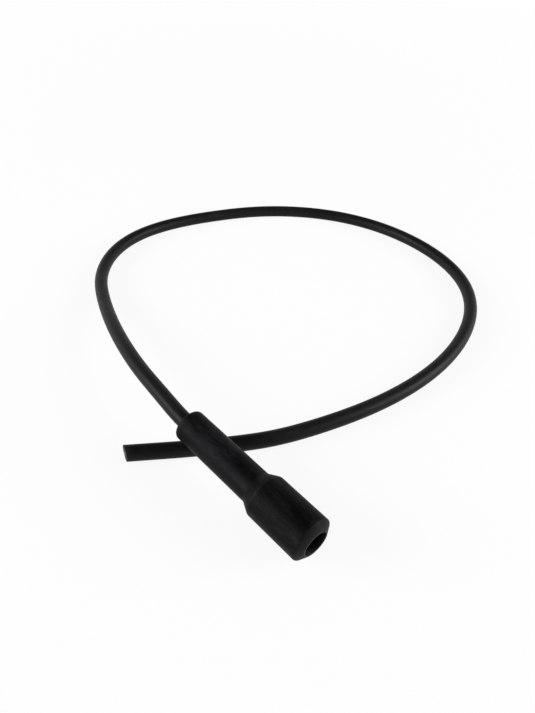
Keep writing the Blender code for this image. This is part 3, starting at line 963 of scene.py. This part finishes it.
def moulded_boot():
    shape = turned_shape(boot_corners(), BOOT_SIDES)
    for depth in np.arange(FIRST_BOOT_RING, LAST_BOOT_RING, BOOT_RING_PITCH):
        bmesh.ops.bisect_plane(shape, geom=shape.verts[:] + shape.edges[:] + shape.faces[:],
                               plane_co=(0, 0, -depth), plane_no=(0, 0, 1))
    bmesh.ops.remove_doubles(shape, verts=shape.verts, dist=BOOT_RING_MERGE)
    bmesh.ops.recalc_face_normals(shape, faces=shape.faces)
    remember_own_space(shape)
    mark_boot(shape)
    uneven_boot_skin(shape)
    bmesh.ops.transform(shape, matrix=CAP_PLACE, verts=shape.verts)
    return finished("moulded_boot", shape, MOULDED_RUBBER)


boot = moulded_boot()
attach(boot, "root")
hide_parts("boot")


# Snap terminal: a rolled sheet with slots, neck windows and crimped wings

# Radius and depth of the sheet's middle, from the cup's flare to the last wing
TERMINAL_LINE = [
    (CUP_RADIUS + CUP_FLARE, CUP_START),
    (CUP_RADIUS, CUP_START + CUP_FLARE_LENGTH),
    (CUP_RADIUS, GROOVE_MIDDLE - GROOVE_WIDTH / 2 - GROOVE_SLOPE),
    (GROOVE_RADIUS, GROOVE_MIDDLE - GROOVE_WIDTH / 2),
    (GROOVE_RADIUS, GROOVE_MIDDLE + GROOVE_WIDTH / 2),
    (CUP_RADIUS, GROOVE_MIDDLE + GROOVE_WIDTH / 2 + GROOVE_SLOPE),
    (CUP_RADIUS, CUP_END),
    (WIRE_CRIMP_RADIUS, CUP_TAPER_END),
    (WIRE_CRIMP_RADIUS, WIRE_CRIMP_END),
    (LEAD_CRIMP_RADIUS, CRIMP_STEP_END),
    (LEAD_CRIMP_RADIUS, LEAD_CRIMP_END),
]


def settled(piece):
    # What the modifiers make becomes the piece's own mesh
    bpy.context.view_layer.update()
    view = piece.evaluated_get(bpy.context.evaluated_depsgraph_get())
    mesh = bpy.data.meshes.new_from_object(view)
    piece.modifiers.clear()
    piece.data = mesh


def rolled_sheet():
    line = [(radius, depth, SHARP) for radius, depth in TERMINAL_LINE]
    shape = turned_shape(line, TERMINAL_SIDES, closed=False)
    terminal = finished("rolled_terminal", shape, PLATED_BRASS)
    wall = terminal.modifiers.new("sheet", "SOLIDIFY")
    wall.thickness = SHEET
    wall.offset = 0.0
    wall.use_even_offset = True
    return terminal


def terminal_openings():
    # Boxes to cut away, from a low corner to a high one, each as x, y and depth
    outer = LEAD_CRIMP_RADIUS + CUP_FLARE + SHEET
    before_cup = CUP_START - SHEET
    seam = SEAM_WIDTH / 2
    slot = FINGER_SLOT_WIDTH / 2
    window = -WINDOW_ABOVE_AXIS
    wing_middle = (CRIMP_STEP_END + LEAD_CRIMP_END) / 2
    wing_start = wing_middle - WING_GAP / 2
    wing_end = wing_middle + WING_GAP / 2
    return {
        "seam_slot": ((-outer, -seam, before_cup), (0.0, seam, LEAD_CRIMP_END + SHEET)),
        "finger_slots": ((-slot, -outer, before_cup), (slot, outer, CUP_START + FINGER_SLOT_LENGTH)),
        "cup_neck_window": ((-outer, -outer, CUP_END), (window, outer, CUP_TAPER_END)),
        "lead_neck_window": ((-outer, -outer, WIRE_CRIMP_END), (window, outer, CRIMP_STEP_END)),
        "wing_gap": ((-outer, -outer, wing_start), (window, outer, wing_end)),
    }


def box_tool(name, low, high):
    shape = bmesh.new()
    bmesh.ops.create_cube(shape, size=1.0)
    bmesh.ops.scale(shape, vec=[b - a for a, b in zip(low, high)], verts=shape.verts)
    x, y, depth = [(a + b) / 2 for a, b in zip(low, high)]
    bmesh.ops.translate(shape, vec=(x, y, -depth), verts=shape.verts)
    mesh = bpy.data.meshes.new(name)
    shape.to_mesh(mesh)
    shape.free()
    tool = bpy.data.objects.new(name, mesh)
    bpy.context.scene.collection.objects.link(tool)
    return tool


def snap_terminal():
    terminal = rolled_sheet()
    tools = []
    for name, (low, high) in terminal_openings().items():
        tool = box_tool(name, low, high)
        tools.append(tool)
        slot = terminal.modifiers.new(name, "BOOLEAN")
        slot.operation = "DIFFERENCE"
        slot.solver = "EXACT"
        slot.object = tool
    settled(terminal)
    for tool in tools:
        bpy.data.objects.remove(tool, do_unlink=True)
    shape = bmesh.new()
    shape.from_mesh(terminal.data)
    bmesh.ops.remove_doubles(shape, verts=shape.verts, dist=OUTLINE_MERGE)
    bmesh.ops.dissolve_degenerate(shape, dist=OUTLINE_MERGE, edges=shape.edges)
    remember_own_space(shape)
    bmesh.ops.transform(shape, matrix=CAP_PLACE, verts=shape.verts)
    shape.to_mesh(terminal.data)
    shape.free()
    terminal.data.shade_smooth()
    terminal.data.set_sharp_from_angle(angle=SHEET_CREASE)
    return terminal


def snap_ring():
    # A wire ring in the middle of the cup's groove, open underneath as the cap lies
    shape = bmesh.new()
    space = shape.verts.layers.float_vector.new("own_space")
    turns = np.linspace(RING_OPENING / 2, 2 * math.pi - RING_OPENING / 2, RING_POINTS)
    path = []
    places = []
    for turn in turns:
        out = Vector((math.cos(turn), math.sin(turn), 0))
        ahead = Vector((-math.sin(turn), math.cos(turn), 0))
        side = ahead.cross(out)
        point = out * RING_RADIUS + Vector((0, 0, -GROOVE_MIDDLE))
        path.append(point)
        places.append(Matrix.Translation(point) @ Matrix((out, side, ahead)).transposed().to_4x4())
    wire = tube_rows(places, lengths_along(path), RING_WIRE_DIAMETER / 2)
    rolled_up(shape, space, wire, RING_SIDES)
    rims = [edge for edge in shape.edges if edge.is_boundary]
    bmesh.ops.holes_fill(shape, edges=rims, sides=RING_SIDES)
    bmesh.ops.recalc_face_normals(shape, faces=shape.faces)
    rounded(shape, rims, RING_END_ROUND, segments=3)
    bmesh.ops.transform(shape, matrix=CAP_PLACE, verts=shape.verts)
    return finished("wire_ring", shape, DRAWN_STEEL)


terminal = snap_terminal()
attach(terminal, "root")
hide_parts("terminal")

ring = snap_ring()
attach(ring, "root")
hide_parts("snap_ring")
